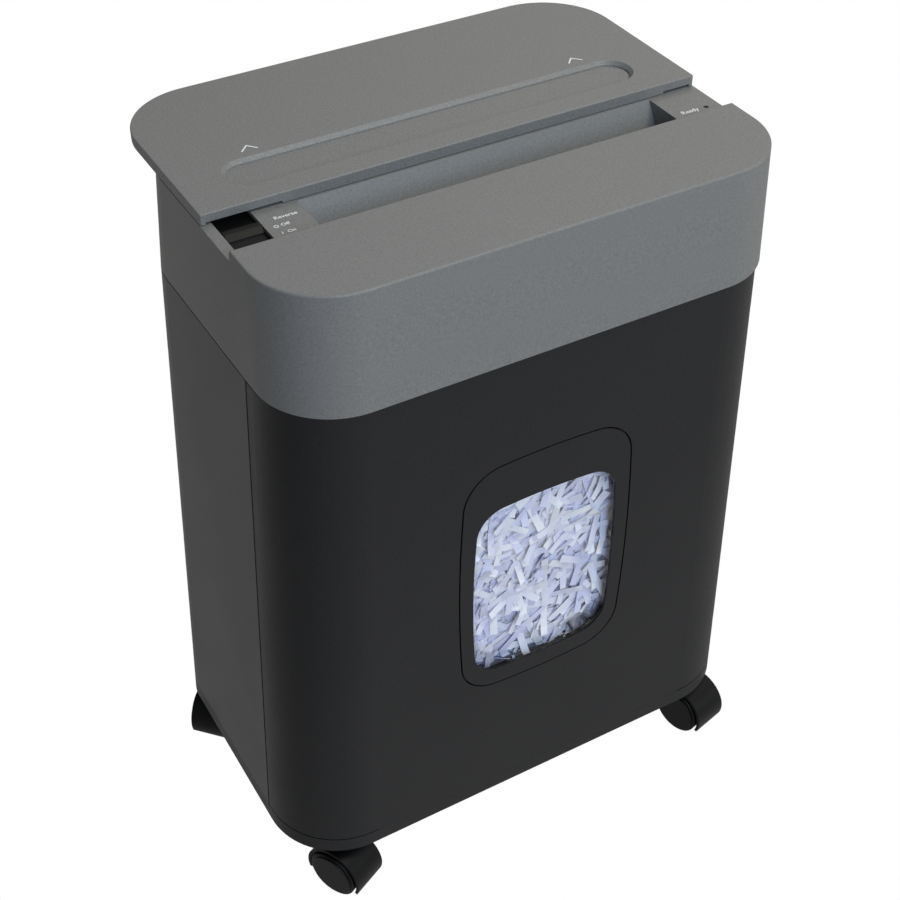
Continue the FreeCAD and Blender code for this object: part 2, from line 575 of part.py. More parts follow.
def side_plate(x0):
    """Steel plate with the bush, rod, idler and motor holes."""
    low = TRAY_Z + WALL
    back = MOTOR_Y + MOTOR_R + 3
    outline = [(-84, low), (back - 4, low), (back, low + 20), (back, MOTOR_Z + 30), (20, MOTOR_Z + 30),
               (SLOT_BACK_Y + 12, SLOT_Z + 6), (SLOT_BACK_Y + 4, SLOT_Z - 2),
               (SLOT_FRONT_Y - 4, SLOT_Z - 2), (-70, SLOT_Z - 2), (-84, SLOT_Z - 12)]
    blank = x_prism(outline, x0, x0 + PLATE)
    for y, z in (FRONT_AXIS, BACK_AXIS):
        blank = blank.cut(x_rod(JOURNAL_R + 2, x0 - 1, x0 + PLATE + 1, y, z))
    for y, z in ROD_PLACES:
        blank = blank.cut(x_rod(ROD_R - 1, x0 - 1, x0 + PLATE + 1, y, z))
    return blank


ROD_PLACES = [(-76.0, TRAY_Z + 14.0), (68.0, TRAY_Z + 14.0), (MOTOR_Y - 24.0, MOTOR_Z + 22.5)]


def tie_rods():
    """Three rods with shouldered ends that hold the plates apart."""
    rods = []
    for y, z in ROD_PLACES:
        body = x_rod(ROD_R, LEFT_PLATE_X + PLATE, RIGHT_PLATE_X, y, z)
        tail = x_rod(ROD_R - 1, LEFT_PLATE_X - 0.6, RIGHT_PLATE_X + PLATE + 2, y, z)
        rods.append(fuse([body, tail]))
    return Part.makeCompound(rods)


def shaft_bushes():
    """Four sintered bushes for the cutter journals."""
    bushes = []
    for y, z in (FRONT_AXIS, BACK_AXIS):
        for x0 in (LEFT_PLATE_X, RIGHT_PLATE_X):
            ring = x_rod(JOURNAL_R + 2, x0, x0 + PLATE, y, z)
            bushes.append(ring.cut(x_rod(JOURNAL_R + RUNNING, x0 - 1, x0 + PLATE + 1, y, z)))
    return Part.makeCompound(bushes)


def drive_train():
    """Write the gears, the cutters and the motor."""
    sync_module = CUTTER_MESH / SYNC_TEETH
    sync_turn = heading(FRONT_AXIS, BACK_AXIS)
    back_turn = meshed_turn(sync_turn, SYNC_TEETH, SYNC_TEETH, sync_turn)
    for node, turn, axis in (("front_sync_gear", sync_turn, FRONT_AXIS),
                             ("back_sync_gear", back_turn, BACK_AXIS)):
        export(node, gear(sync_module, SYNC_TEETH, turn, SYNC_X, axis, JOURNAL_R))
    to_idler = heading(BACK_AXIS, IDLER_AXIS)
    export("cutter_gear", gear(DRIVE_MODULE, CUTTER_GEAR_TEETH, to_idler, DRIVE_X, BACK_AXIS, JOURNAL_R))
    small_turn = meshed_turn(to_idler, CUTTER_GEAR_TEETH, IDLER_SMALL_TEETH, to_idler)
    to_motor = heading(IDLER_AXIS, MOTOR_AXIS)
    idler = fuse([gear(DRIVE_MODULE, IDLER_SMALL_TEETH, small_turn, DRIVE_X, IDLER_AXIS, 0),
                  x_rod(6.0, DRIVE_X - GEAR_STEP, DRIVE_X, *IDLER_AXIS),
                  gear(MOTOR_MODULE, IDLER_LARGE_TEETH, to_motor, MOTOR_GEAR_X, IDLER_AXIS, 0)])
    bore = x_rod(IDLER_PIN_R + RUNNING, MOTOR_GEAR_X - 5, LEFT_PLATE_X + 5, *IDLER_AXIS)
    export("idler_gear", idler.cut(bore))
    pinion_turn = meshed_turn(to_motor, IDLER_LARGE_TEETH, PINION_TEETH, to_motor)
    pinion = gear(MOTOR_MODULE, PINION_TEETH, pinion_turn, MOTOR_GEAR_X, MOTOR_AXIS, 0)
    shaft = x_rod(MOTOR_SHAFT_R, MOTOR_GEAR_X, LEFT_PLATE_X + PLATE + 20, *MOTOR_AXIS)
    export("motor_pinion", fuse([pinion, shaft]))
    idler_pin = fuse([x_rod(IDLER_PIN_R, MOTOR_GEAR_X - 1, LEFT_PLATE_X + PLATE, *IDLER_AXIS),
                      x_rod(IDLER_PIN_R + 2, LEFT_PLATE_X - GEAR_STEP, LEFT_PLATE_X, *IDLER_AXIS)])
    export("idler_pin", idler_pin)
    export("front_cutter", cutter(FRONT_AXIS, 0.4, 1, SYNC_X))
    export("back_cutter", cutter(BACK_AXIS, 0.4 + DISC_PITCH / 2, -1, DRIVE_X))
    export("front_stripper_comb", comb(FRONT_AXIS, 0.4, -1))
    export("back_stripper_comb", comb(BACK_AXIS, 0.4 + DISC_PITCH / 2, 1))
    left = side_plate(LEFT_PLATE_X)
    left = left.cut(x_rod(IDLER_PIN_R, LEFT_PLATE_X - 1, LEFT_PLATE_X + PLATE + 1, *IDLER_AXIS))
    left = left.cut(x_rod(MOTOR_SHAFT_R + 1, LEFT_PLATE_X - 1, LEFT_PLATE_X + PLATE + 1, *MOTOR_AXIS))
    export("left_side_plate", left)
    export("right_side_plate", side_plate(RIGHT_PLATE_X))
    export("tie_rods", tie_rods())
    export("shaft_bushes", shaft_bushes())
    motor_x = LEFT_PLATE_X + PLATE
    can = fuse([x_rod(MOTOR_R, motor_x, motor_x + MOTOR_LENGTH, *MOTOR_AXIS),
                x_rod(MOTOR_R * 0.45, motor_x, motor_x + MOTOR_LENGTH + 8, *MOTOR_AXIS)])
    export("drive_motor", can.cut(x_rod(MOTOR_SHAFT_R + RUNNING, motor_x - 1, motor_x + 22, *MOTOR_AXIS)))


# ---- controls -----------------------------------------------------------------------------------------
def control_board():
    """Board on four posts, with a relay, a transformer, a capacitor and a connector."""
    x0, y0, x1, y1 = BOARD_CORNERS
    low = TRAY_Z + WALL + BOARD_POST
    top = low + BOARD_THICK
    parts = [box(x0, x1, y0, y1, low, top),
             box(x0 + 6, x0 + 26, y0 + 6, y0 + 24, top, top + 15),
             box(x1 - 30, x1 - 14, y1 - 26, y1 - 4, top, top + 10),
             rod(6, Vector(x0 + 44, y0 + 38, top), Z_AXIS, 18),
             box(x0 + 34, x0 + 54, y0 + 4, y0 + 12, top, top + 8)]
    for x in (x0 + 5, x1 - 5):
        for y in (y0 + 5, y1 - 5):
            parts.append(rod(3, Vector(x, y, TRAY_Z + WALL), Z_AXIS, BOARD_POST))
    return fuse(parts)


def controls():
    """Write the power switch, the ready lamp, the paper sensor, the board and the cord gland."""
    top = DECK_Z - WALL - SLIDE_CLEAR
    half = SWITCH_HALF + SLIDER_EDGE
    knob_half = SWITCH_HALF - SLIDE_CLEAR - 0.2
    back_y = SWITCH_SLOT_BACK + 1
    slider = box(SWITCH_X - half, SWITCH_X + half, APRON_BACK_Y + 1, back_y, top - SLIDER_THICK, top)
    ridge_top = DECK_Z + COVER_RUN - 0.1
    knob_back = KNOB_FRONT_Y + KNOB_LENGTH
    ridge = x_prism([(KNOB_FRONT_Y, top - 1), (KNOB_FRONT_Y + 0.4, top + 0.6),
                     (KNOB_FRONT_Y + KNOB_FACE, ridge_top - 0.4), (KNOB_FRONT_Y + KNOB_FACE + 0.6, ridge_top),
                     (knob_back - 1.4, ridge_top), (knob_back, ridge_top - 1.4), (knob_back, top - 1)],
                    SWITCH_X - knob_half, SWITCH_X + knob_half)
    tongue = box(SWITCH_X - 3, SWITCH_X + 3, KNOB_FRONT_Y, KNOB_FRONT_Y + 6, top - SLIDER_THICK - 3, top - 1)
    export("switch_slider", fuse([slider, ridge, tongue]))
    body_top = top - SLIDER_THICK - SLIDE_CLEAR
    rail = half + SLIDE_CLEAR
    front_y = APRON_BACK_Y + 0.5
    end_y = back_y + 2 * SWITCH_STEP + 2
    low = body_top - 10
    outer = rail + SWITCH_RAIL
    body = fuse([box(SWITCH_X - outer, SWITCH_X + outer, front_y, end_y, low, body_top),
                 box(SWITCH_X - outer, SWITCH_X - rail, front_y, end_y, low, DECK_Z - WALL),
                 box(SWITCH_X + rail, SWITCH_X + outer, front_y, end_y, low, DECK_Z - WALL)])
    slot = box(SWITCH_X - 3.6, SWITCH_X + 3.6, KNOB_FRONT_Y - 0.6, KNOB_FRONT_Y + 6.6 + 2 * SWITCH_STEP,
               body_top - 4, body_top + 1)
    export("switch_body", body.cut(slot))
    export("ready_lamp", rod(LAMP_R - SNUG, Vector(LAMP_X, LAMP_Y, DECK_Z - 16), Z_AXIS, 15.4))
    arm = x_prism([(SLOT_FRONT_Y + 1.2, SENSOR_Z - 6), (SLOT_FRONT_Y + 3, SENSOR_Z - 7.5),
                   (SENSOR_Y, SENSOR_Z - 1.8), (SENSOR_Y + 10, SENSOR_Z - 1.8), (SENSOR_Y + 10, SENSOR_Z + 1.8),
                   (SENSOR_Y - 4, SENSOR_Z + 3.2)], SENSOR_X - LEVER_HALF, SENSOR_X + LEVER_HALF)
    hub_half = EAR_X - EAR_HALF - 1
    hub = x_rod(LEVER_HUB_R, SENSOR_X - hub_half, SENSOR_X + hub_half, SENSOR_Y, SENSOR_Z)
    bore = x_rod(SENSOR_PIN_R + RUNNING, SENSOR_X - EAR_X, SENSOR_X + EAR_X, SENSOR_Y, SENSOR_Z)
    export("paper_sensor_lever", fuse([arm, hub]).cut(bore))
    pin_half = EAR_X + EAR_HALF + 1
    export("sensor_pin", x_rod(SENSOR_PIN_R, SENSOR_X - pin_half, SENSOR_X + pin_half, SENSOR_Y, SENSOR_Z))
    export("control_board", control_board())
    inner = REAR_Y - GLAND_LENGTH + GLAND_FLANGE
    barrel = rod(GLAND_R - RUNNING, Vector(GLAND_X, inner, GLAND_Z), Y_AXIS, GLAND_LENGTH - GLAND_FLANGE / 2)
    flange = rod(GLAND_R + 3, Vector(GLAND_X, REAR_Y, GLAND_Z), Y_AXIS, GLAND_FLANGE)
    nut = rod(GLAND_R + 3, Vector(GLAND_X, inner, GLAND_Z), Y_AXIS, GLAND_FLANGE + 1)
    bore = rod(CORD_BORE_R, Vector(GLAND_X, inner - 1, GLAND_Z), Y_AXIS, GLAND_LENGTH + 2)
    export("cord_gland", fuse([barrel, flange, nut]).cut(bore))


# ---- cabinet ------------------------------------------------------------------------------------------
def caster_places():
    """Swivel axis of each caster, with the turn of its hood at rest."""
    return {"front_left": (-CASTER_FRONT_X, CASTER_FRONT_Y),
            "front_right": (CASTER_FRONT_X, CASTER_FRONT_Y),
            "rear_left": (-CASTER_REAR_X, CASTER_REAR_Y),
            "rear_right": (CASTER_REAR_X, CASTER_REAR_Y)}


def base_tray():
    """Base with a low rim and the four caster sockets."""
    rim_z = BASE_Z + BASE_RIM
    base = body_loft(BASE_Z, rim_z).cut(body_loft(BASE_Z + BASE_FLOOR, rim_z + 5, WALL))
    sockets = [rod(STEM_R + SOCKET_WALL, Vector(x, y, BASE_Z), Z_AXIS, STEM_TOP_Z + 3 - BASE_Z)
               for x, y in caster_places().values()]
    base = fuse([base] + sockets)
    for x, y in caster_places().values():
        base = base.cut(rod(STEM_R + RUNNING, Vector(x, y, BASE_Z - 1), Z_AXIS, STEM_TOP_Z - BASE_Z + 1.5))
    return base


def cabinet_shell():
    """Back and side walls in one moulding, open at the front for the drawer."""
    low = BASE_Z + BASE_RIM
    edge_y = DRAWER_SEAM_Y + DRAWER_GAP / 2
    behind = box(-BIG, BIG, edge_y, BIG, 0, BIG)
    shell = body_loft(low, SEAM_Z).cut(body_loft(low - 1, SEAM_Z + 1, WALL)).common(behind)
    start = SEAM_Z - SHADOW_HEIGHT
    rebate = body_loft(start, SEAM_Z + 1, -1).cut(body_loft(start - 1, SEAM_Z + 2, SHADOW_DEPTH))
    shell = shell.cut(rebate)
    strip = box(-BIG, BIG, edge_y, edge_y + WALL, 0, BIG)
    returns = body_loft(low, SEAM_Z, WALL / 2).cut(body_loft(low - 1, SEAM_Z + 1, FLANGE)).common(strip)
    return fuse([shell, returns])


# ---- drawer and bin -----------------------------------------------------------------------------------
def window_block(size, grow, z, y0, y1):
    """Block along Y whose outline is a rectangle with bowed sides and round corners."""
    half_w, half_h, bow, corner = size
    half_w, half_h, corner = half_w + grow, half_h + grow, corner + grow
    w, h = half_w - bow, half_h - bow
    corners = [Vector(-w, y0, z - h), Vector(w, y0, z - h), Vector(w, y0, z + h), Vector(-w, y0, z + h)]
    middles = [Vector(0, y0, z - half_h), Vector(half_w, y0, z), Vector(0, y0, z + half_h),
               Vector(-half_w, y0, z)]
    edges = [Part.Arc(corners[i], middles[i], corners[(i + 1) % 4]).toShape() for i in range(4)]
    block = Part.Face(Part.Wire(edges)).extrude(Vector(0, y1 - y0, 0))
    upright = [edge for edge in block.Edges if edge.BoundBox.YLength > (y1 - y0) * 0.9 and
               edge.BoundBox.XLength < 0.01 and edge.BoundBox.ZLength < 0.01]
    return block.makeFillet(corner, upright)


def drawer_front():
    """Curved front that wraps both front corners, with the window opening and two ribs for the bin."""
    low = BASE_Z + BASE_RIM + DRAWER_GAP * 0.6
    high = SEAM_Z - DRAWER_GAP * 0.6
    edge_y = DRAWER_SEAM_Y - DRAWER_GAP / 2
    ahead = box(-BIG, BIG, -BIG, edge_y, 0, BIG)
    shell = body_loft(low, high).cut(body_loft(low - 1, high + 1, WALL)).common(ahead)
    ribs = [box(-RIB_HALF, RIB_HALF, FRONT_Y + WALL / 2, BIN_FRONT_Y, z, z + RIB_THICK)
            for z in (low + RIB_LOW, BIN_TOP_Z - RIB_HIGH)]
    half = BASE_HALF - FRONT_R_BASE - LIP_INSET
    lip = box(-half, half, FRONT_Y, FRONT_Y + WALL, BASE_Z + BASE_RIM + LIP_CLEAR, low + 1)
    shell = fuse([shell, lip] + ribs)
    opening = window_block(BEZEL, BEZEL_FIT, WINDOW_Z, FRONT_Y - 5, FRONT_Y + WALL + 1)
    return shell.cut(opening)


def window_bezel():
    """Frame set flush in the drawer front, with a flange behind it and the opening for the pane."""
    back = FRONT_Y + WALL
    frame = window_block(BEZEL, 0, WINDOW_Z, FRONT_Y, back)
    flange = window_block(BEZEL, BEZEL_LIP, WINDOW_Z, back, back + BEZEL_FLANGE)
    hole = window_block(PANE, 0, PANE_Z, FRONT_Y - 1, back + 5)
    seat = window_block(PANE, PANE_LIP, PANE_Z, FRONT_Y + PANE_SET + PANE_THICK / 2, back + 5)
    return fuse([frame, flange]).cut(hole).cut(seat)


def window_pane():
    """Clear pane whose middle is sunk behind a rolled rim, with a border that sits in the bezel."""
    rim_y = FRONT_Y + PANE_SET
    back = rim_y + PANE_THICK
    border = window_block(PANE, PANE_LIP - PANE_FIT, PANE_Z, back - PANE_THICK / 2, back)
    sunk = window_block(PANE, -PANE_FIT, PANE_Z, rim_y, back + PANE_DISH)
    far = [edge for edge in sunk.Edges if edge.BoundBox.YMin > back + PANE_DISH - 0.01]
    sunk = sunk.makeFillet(PANE_ROLL + PANE_THICK / 2, far)
    hollow = window_block(PANE, -PANE_FIT - PANE_THICK / 2, PANE_Z, rim_y - 1, rim_y + PANE_DISH)
    far = [edge for edge in hollow.Edges if edge.BoundBox.YMin > rim_y + PANE_DISH - 0.01]
    return fuse([sunk, border]).cut(hollow.makeFillet(PANE_ROLL, far))


BIN_LOW_Z = RUNNER_TOP_Z + RUNNER_CLEAR


def bin_tub():
    """Open bin behind the drawer front, with a window opening of its own."""
    tub = box(-BIN_HALF, BIN_HALF, BIN_FRONT_Y, BIN_BACK_Y, BIN_LOW_Z, BIN_TOP_Z)
    upright = [edge for edge in tub.Edges if edge.BoundBox.ZLength > 50]
    tub = tub.makeFillet(BIN_R, upright)
    inner = box(-BIN_HALF + BIN_WALL, BIN_HALF - BIN_WALL, BIN_FRONT_Y + BIN_WALL, BIN_BACK_Y - BIN_WALL,
                BIN_LOW_Z + BIN_WALL, BIN_TOP_Z + 5)
    upright = [edge for edge in inner.Edges if edge.BoundBox.ZLength > 50]
    tub = tub.cut(inner.makeFillet(BIN_R - BIN_WALL, upright))
    return tub.cut(window_block(PANE, PANE_LIP + 2, PANE_Z, BIN_FRONT_Y - 1, BIN_FRONT_Y + BIN_WALL + 1))


def bin_screws():
    """Four screws that hold the bin to the drawer front's ribs."""
    low = BASE_Z + BASE_RIM + DRAWER_GAP * 0.6 + RIB_LOW + RIB_THICK / 2
    high = BIN_TOP_Z - RIB_HIGH + RIB_THICK / 2
    screws = [rod(SCREW_HEAD_R, Vector(x, BIN_FRONT_Y + BIN_WALL, z), Y_AXIS, 2.0)
              for x in (20 - RIB_HALF, RIB_HALF - 20) for z in (low, high)]
    return Part.makeCompound(screws)


def shredded_paper():
    """Loose paper strips in the bin, as one plain solid."""
    gap = BIN_WALL + FILL_CLEAR
    fill = box(-BIN_HALF + gap, BIN_HALF - gap, BIN_FRONT_Y + BIN_WALL + FILL_FRONT, BIN_BACK_Y - gap,
               BIN_LOW_Z + gap, FILL_Z)
    upright = [edge for edge in fill.Edges if edge.BoundBox.ZLength > 50]
    return fill.makeFillet(BIN_R - gap, upright)


def drawer_parts():
    """Write the drawer, its bin, its window and its runners."""
    export("drawer_front", drawer_front())
    export("window_bezel", window_bezel())
    export("window_pane", window_pane())
    export("bin_tub", bin_tub())
    export("bin_screws", bin_screws())
    export("shredded_paper", shredded_paper())
    for side, name in ((-1, "left"), (1, "right")):
        x = side * RUNNER_X
        half = RUNNER_WIDTH / 2
        export(name + "_bin_runner", box(x - half, x + half, FRONT_Y + 8, BIN_BACK_Y + 4,
                                         BASE_Z + BASE_FLOOR, RUNNER_TOP_Z))
    magnet = box(-8, 8, BIN_FRONT_Y, BIN_FRONT_Y + 6, BIN_TOP_Z, BIN_TOP_Z + 4)
    export("bin_magnet", magnet)
    export("bin_sensor", box(-10, 10, BIN_FRONT_Y + 9, BIN_FRONT_Y + 19, TRAY_Z - 5, TRAY_Z))


# ---- casters ------------------------------------------------------------------------------------------
def caster(name, x, y, turn):
    """Twin-wheel caster with a hood, built facing -Y at the origin and turned into its rest place."""
    axle_y = -TRAIL
    inner_r = HOOD_R - HOOD_WALL
    start, end = HOOD_TIPS

    def sector(radius, half):
        """Part disc from the front tip over the top to the back tip, on the axle."""
        points = [(axle_y, WHEEL_R)]
        for step in range(25):
            angle = math.radians(start + (end - start) * step / 24)
            points.append((axle_y - radius * 3 * math.cos(angle), WHEEL_R + radius * 3 * math.sin(angle)))
        wedge = x_prism(points, -half, half)
        return x_rod(radius, -half, half, axle_y, WHEEL_R).common(wedge)

    shell = sector(HOOD_R, HOOD_HALF).cut(x_rod(inner_r, -BIG, BIG, axle_y, WHEEL_R))
    web = sector(HOOD_R - 1, WEB)
    hub = x_rod(AXLE_R + 2.5, -WEB, WEB, axle_y, WHEEL_R)
    stem_low = WHEEL_R + math.sqrt(WHEEL_R ** 2 - (TRAIL - STEM_R - 3) ** 2) + 1.2
    boss = rod(STEM_R + 3, Vector(0, 0, stem_low), Z_AXIS, BASE_Z - 1.6 - stem_low)
    hood = fuse([shell, web, hub, boss])
    hood = hood.cut(x_rod(AXLE_R, -BIG, BIG, axle_y, WHEEL_R))
    hood = hood.cut(rod(STEM_R, Vector(0, 0, stem_low + 1.5), Z_AXIS, 60))
    stem = rod(STEM_R, Vector(0, 0, stem_low + 1.5), Z_AXIS, STEM_TOP_Z - stem_low - 1.5)
    axle_half = WHEEL_REACH - WHEEL_CAP - 0.2
    axle = x_rod(AXLE_R, -axle_half, axle_half, axle_y, WHEEL_R)
    pieces = {"hood": hood, "stem": stem, "axle": axle}
    for side, label in ((-1, "left_wheel"), (1, "right_wheel")):
        near, far = side * WHEEL_GAP, side * WHEEL_REACH
        shoulder = far - side * WHEEL_STEP
        tyre = x_rod(WHEEL_R, min(near, shoulder), max(near, shoulder), axle_y, WHEEL_R)
        rim = [edge for edge in tyre.Edges
               if abs(edge.BoundBox.XMin - shoulder) < 0.01 and edge.BoundBox.XLength < 0.01]
        tyre = tyre.makeFillet(TYRE_EDGE, rim)
        disc = x_rod(WHEEL_DISC_R, min(near, far), max(near, far), axle_y, WHEEL_R)
        rim = [edge for edge in disc.Edges
               if abs(edge.BoundBox.XMin - far) < 0.01 and edge.BoundBox.XLength < 0.01]
        disc = disc.makeFillet(DISC_EDGE, rim)
        end = side * (WHEEL_REACH - WHEEL_CAP)
        bore = x_rod(AXLE_R + RUNNING, min(near - side, end), max(near - side, end), axle_y, WHEEL_R)
        pieces[label] = tyre.fuse(disc).removeSplitter().cut(bore)
    for label, shape in pieces.items():
        shape.rotate(Vector(0, 0, 0), Z_AXIS, turn)
        shape.translate(Vector(x, y, 0))
        export("caster_" + name + "_" + label, shape)


# ---- build --------------------------------------------------------------------------------------------
os.makedirs(OUT, exist_ok=True)
export("head_shell", head_shell())
export("sliding_cover", sliding_cover())
export("head_tray", head_tray())
export("head_screws", head_screws())
drive_train()
controls()
export("base_tray", base_tray())
export("cabinet_shell", cabinet_shell())
drawer_parts()
for caster_name, (caster_x, caster_y) in caster_places().items():
    caster(caster_name, caster_x, caster_y, HOOD_TURN[caster_name])
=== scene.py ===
import math

import bpy
import numpy as np
from mathutils import Matrix, Vector


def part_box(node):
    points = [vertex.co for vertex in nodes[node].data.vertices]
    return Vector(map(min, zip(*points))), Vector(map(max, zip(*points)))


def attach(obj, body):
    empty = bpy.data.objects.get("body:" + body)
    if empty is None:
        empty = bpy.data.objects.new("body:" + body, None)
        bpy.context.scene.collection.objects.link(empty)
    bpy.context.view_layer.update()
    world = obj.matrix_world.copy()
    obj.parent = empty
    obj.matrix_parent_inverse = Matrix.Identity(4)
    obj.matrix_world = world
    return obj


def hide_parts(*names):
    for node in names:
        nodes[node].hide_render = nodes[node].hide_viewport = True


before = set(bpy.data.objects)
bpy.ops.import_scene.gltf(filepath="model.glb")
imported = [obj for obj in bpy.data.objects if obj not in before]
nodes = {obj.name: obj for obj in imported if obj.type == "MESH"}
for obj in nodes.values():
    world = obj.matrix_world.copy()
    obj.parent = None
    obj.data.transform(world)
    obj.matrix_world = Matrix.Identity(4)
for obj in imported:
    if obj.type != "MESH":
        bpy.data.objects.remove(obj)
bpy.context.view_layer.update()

# ---- Camera -------------------------------------------------------------------------------------------
# It stands to the front left, above the head, and looks down at forty degrees.
azimuth, elevation, roll = -29.5337, 40.0078, -0.1464
camera = bpy.data.cameras.new("camera")
camera.sensor_width = 36.0
camera.lens = 62.68
camera.shift_x = 0.00944
camera.shift_y = -0.00409
camera.clip_end = 20.0
view = bpy.data.objects.new("camera", camera)
bpy.context.collection.objects.link(view)
view.matrix_world = (Matrix.Translation((-0.39788, -0.68528, 0.92598))
                     @ Matrix.Rotation(math.radians(azimuth), 4, "Z")
                     @ Matrix.Rotation(math.radians(90 - elevation), 4, "X")
                     @ Matrix.Rotation(math.radians(roll), 4, "Z"))
bpy.context.scene.camera = view

# ---- Light --------------------------------------------------------------------------------------------
# Two large softboxes hang high in front, a third stands high behind on the right, and a small lamp stands
# low on the right. The surroundings are a white tent: seen directly they are white, mirrored they are
# brighter to the front and the back than to the left, and they fill the shadows from the front only.
bpy.context.scene.view_settings.view_transform = "Standard"


def softbox(name, place, size, watts, colour):
    """Square lamp at a place, facing the middle of the shredder."""
    data = bpy.data.lights.new(name, "AREA")
    data.shape = "SQUARE"
    data.size = size
    data.energy = watts
    data.color = colour
    lamp = bpy.data.objects.new(name, data)
    lamp.location = place
    lamp.rotation_euler = (Vector((0.0, 0.0, 0.35)) - lamp.location).to_track_quat("-Z", "Y").to_euler()
    bpy.context.collection.objects.link(lamp)


softbox("front softbox", (-0.3, -2.3, 1.9), 1.3, 36.0, (0.50, 0.71, 1.0))
softbox("upper softbox", (0.8, -0.8, 2.5), 1.3, 25.0, (1.0, 0.965, 0.83))
softbox("rear softbox", (1.0, 0.9, 2.1), 1.3, 10.0, (1.0, 0.99, 0.96))
softbox("side lamp", (2.0, -1.1, 0.57), 0.5, 4.0, (1.0, 1.0, 1.0))


def add(tree, kind, **settings):
    """New node of a kind; a setting that names an input sets it, any other sets the node's own property."""
    node = tree.nodes.new(kind)
    for key, value in settings.items():
        label = key.replace("_", " ")
        if label in node.inputs:
            node.inputs[label].default_value = value
        else:
            setattr(node, key, value)
    return node


def combined(tree, operation, first, second):
    """Math node over two values, each a socket or a number."""
    node = add(tree, "ShaderNodeMath", operation=operation)
    for i, value in enumerate((first, second)):
        if isinstance(value, (int, float)):
            node.inputs[i].default_value = value
        else:
            tree.links.new(value, node.inputs[i])
    return node.outputs[0]


world = bpy.data.worlds.new("surroundings")
world.use_nodes = True
bpy.context.scene.world = world
tree = world.node_tree
tree.nodes.clear()
rays = add(tree, "ShaderNodeLightPath").outputs
heading = add(tree, "ShaderNodeSeparateXYZ")
tree.links.new(add(tree, "ShaderNodeTexCoord").outputs["Generated"], heading.inputs[0])
x, y, z = heading.outputs
towards = {"right": x, "back": y, "front": combined(tree, "MULTIPLY", y, -1.0),
           "down": combined(tree, "MULTIPLY", z, -1.0)}
towards = {side: combined(tree, "MAXIMUM", value, 0.0) for side, value in towards.items()}
mirrored = 0.02
for side, share in (("right", 0.26), ("back", 0.42), ("front", 0.54), ("down", 0.33)):
    mirrored = combined(tree, "ADD", combined(tree, "MULTIPLY", towards[side], share), mirrored)
filling = combined(tree, "MULTIPLY", towards["front"], 0.53)
bounced = combined(tree, "MULTIPLY", rays["Is Glossy Ray"], mirrored)
scattered = combined(tree, "MULTIPLY", rays["Is Diffuse Ray"], filling)
straight = combined(tree, "MAXIMUM", rays["Is Camera Ray"], rays["Is Transmission Ray"])
strength = combined(tree, "ADD", combined(tree, "ADD", bounced, scattered), straight)
tint = add(tree, "ShaderNodeMix", data_type="RGBA")
tint.inputs["A"].default_value = (1.0, 1.0, 1.0, 1.0)
tint.inputs["B"].default_value = (1.0, 0.96, 0.86, 1.0)
tree.links.new(rays["Is Diffuse Ray"], tint.inputs["Factor"])
white = add(tree, "ShaderNodeBackground")
tree.links.new(tint.outputs["Result"], white.inputs["Color"])
tree.links.new(strength, white.inputs["Strength"])
tree.links.new(white.outputs[0], add(tree, "ShaderNodeOutputWorld").inputs["Surface"])


# ---- Base ---------------------------------------------------------------------------------------------
# The base is a shallow tray, moulded in charcoal ABS with the spark texture of the drawer's front. It
# closes the cabinet from below and carries the four casters.
edge_rounding = 0.0004


def srgb(code):
    """Linear colour of a hexadecimal sRGB code."""
    parts = [int(code[i:i + 2], 16) / 255 for i in (1, 3, 5)]
    return tuple(c / 12.92 if c <= 0.04045 else ((c + 0.055) / 1.055) ** 2.4 for c in parts) + (1.0,)


def surface(name, **settings):
    """New material with one Principled shader; returns the material, its tree and the shader."""
    material = bpy.data.materials.new(name)
    material.use_nodes = True
    tree = material.node_tree
    tree.nodes.clear()
    shader = add(tree, "ShaderNodeBsdfPrincipled", **settings)
    tree.links.new(shader.outputs[0], add(tree, "ShaderNodeOutputMaterial").inputs["Surface"])
    return material, tree, shader


def grain(tree, size, detail=2.0, roughness=0.5):
    """Noise over the object's own position, whose scale is one over the features' size in metres."""
    place = add(tree, "ShaderNodeTexCoord")
    noise = add(tree, "ShaderNodeTexNoise", Scale=1.0 / size, Detail=detail, Roughness=roughness)
    tree.links.new(place.outputs["Object"], noise.inputs["Vector"])
    return noise.outputs["Fac"]


def ranged(tree, value, low, high, start=0.3, end=0.7):
    """Value mapped from start..end to low..high."""
    node = add(tree, "ShaderNodeMapRange")
    for i, number in ((1, start), (2, end), (3, low), (4, high)):
        node.inputs[i].default_value = number
    tree.links.new(value, node.inputs[0])
    return node.outputs[0]


def moulded(name, colour, roughness, texture=0.0006, depth=0.00006, speckle=0.10, gloss=0.5):
    """Spark-textured moulded plastic: a fine bump, a faint speckle, and a slow change of gloss."""
    material, tree, shader = surface(name, Specular_IOR_Level=gloss)
    fine = grain(tree, texture, 3.0, 0.6)
    tint = add(tree, "ShaderNodeMix", data_type="RGBA")
    base = srgb(colour)
    tint.inputs["A"].default_value = tuple(c * (1 - speckle) for c in base[:3]) + (1.0,)
    tint.inputs["B"].default_value = tuple(c * (1 + speckle) for c in base[:3]) + (1.0,)
    tree.links.new(ranged(tree, fine, 0.0, 1.0), tint.inputs["Factor"])
    tree.links.new(tint.outputs["Result"], shader.inputs["Base Color"])
    slow = grain(tree, 0.09, 2.0)
    tree.links.new(ranged(tree, slow, roughness - 0.02, roughness + 0.02), shader.inputs["Roughness"])
    edge = add(tree, "ShaderNodeBevel", samples=4, Radius=edge_rounding)
    bump = add(tree, "ShaderNodeBump", Strength=0.6, Distance=depth)
    tree.links.new(fine, bump.inputs["Height"])
    tree.links.new(edge.outputs[0], bump.inputs["Normal"])
    tree.links.new(bump.outputs[0], shader.inputs["Normal"])
    return material


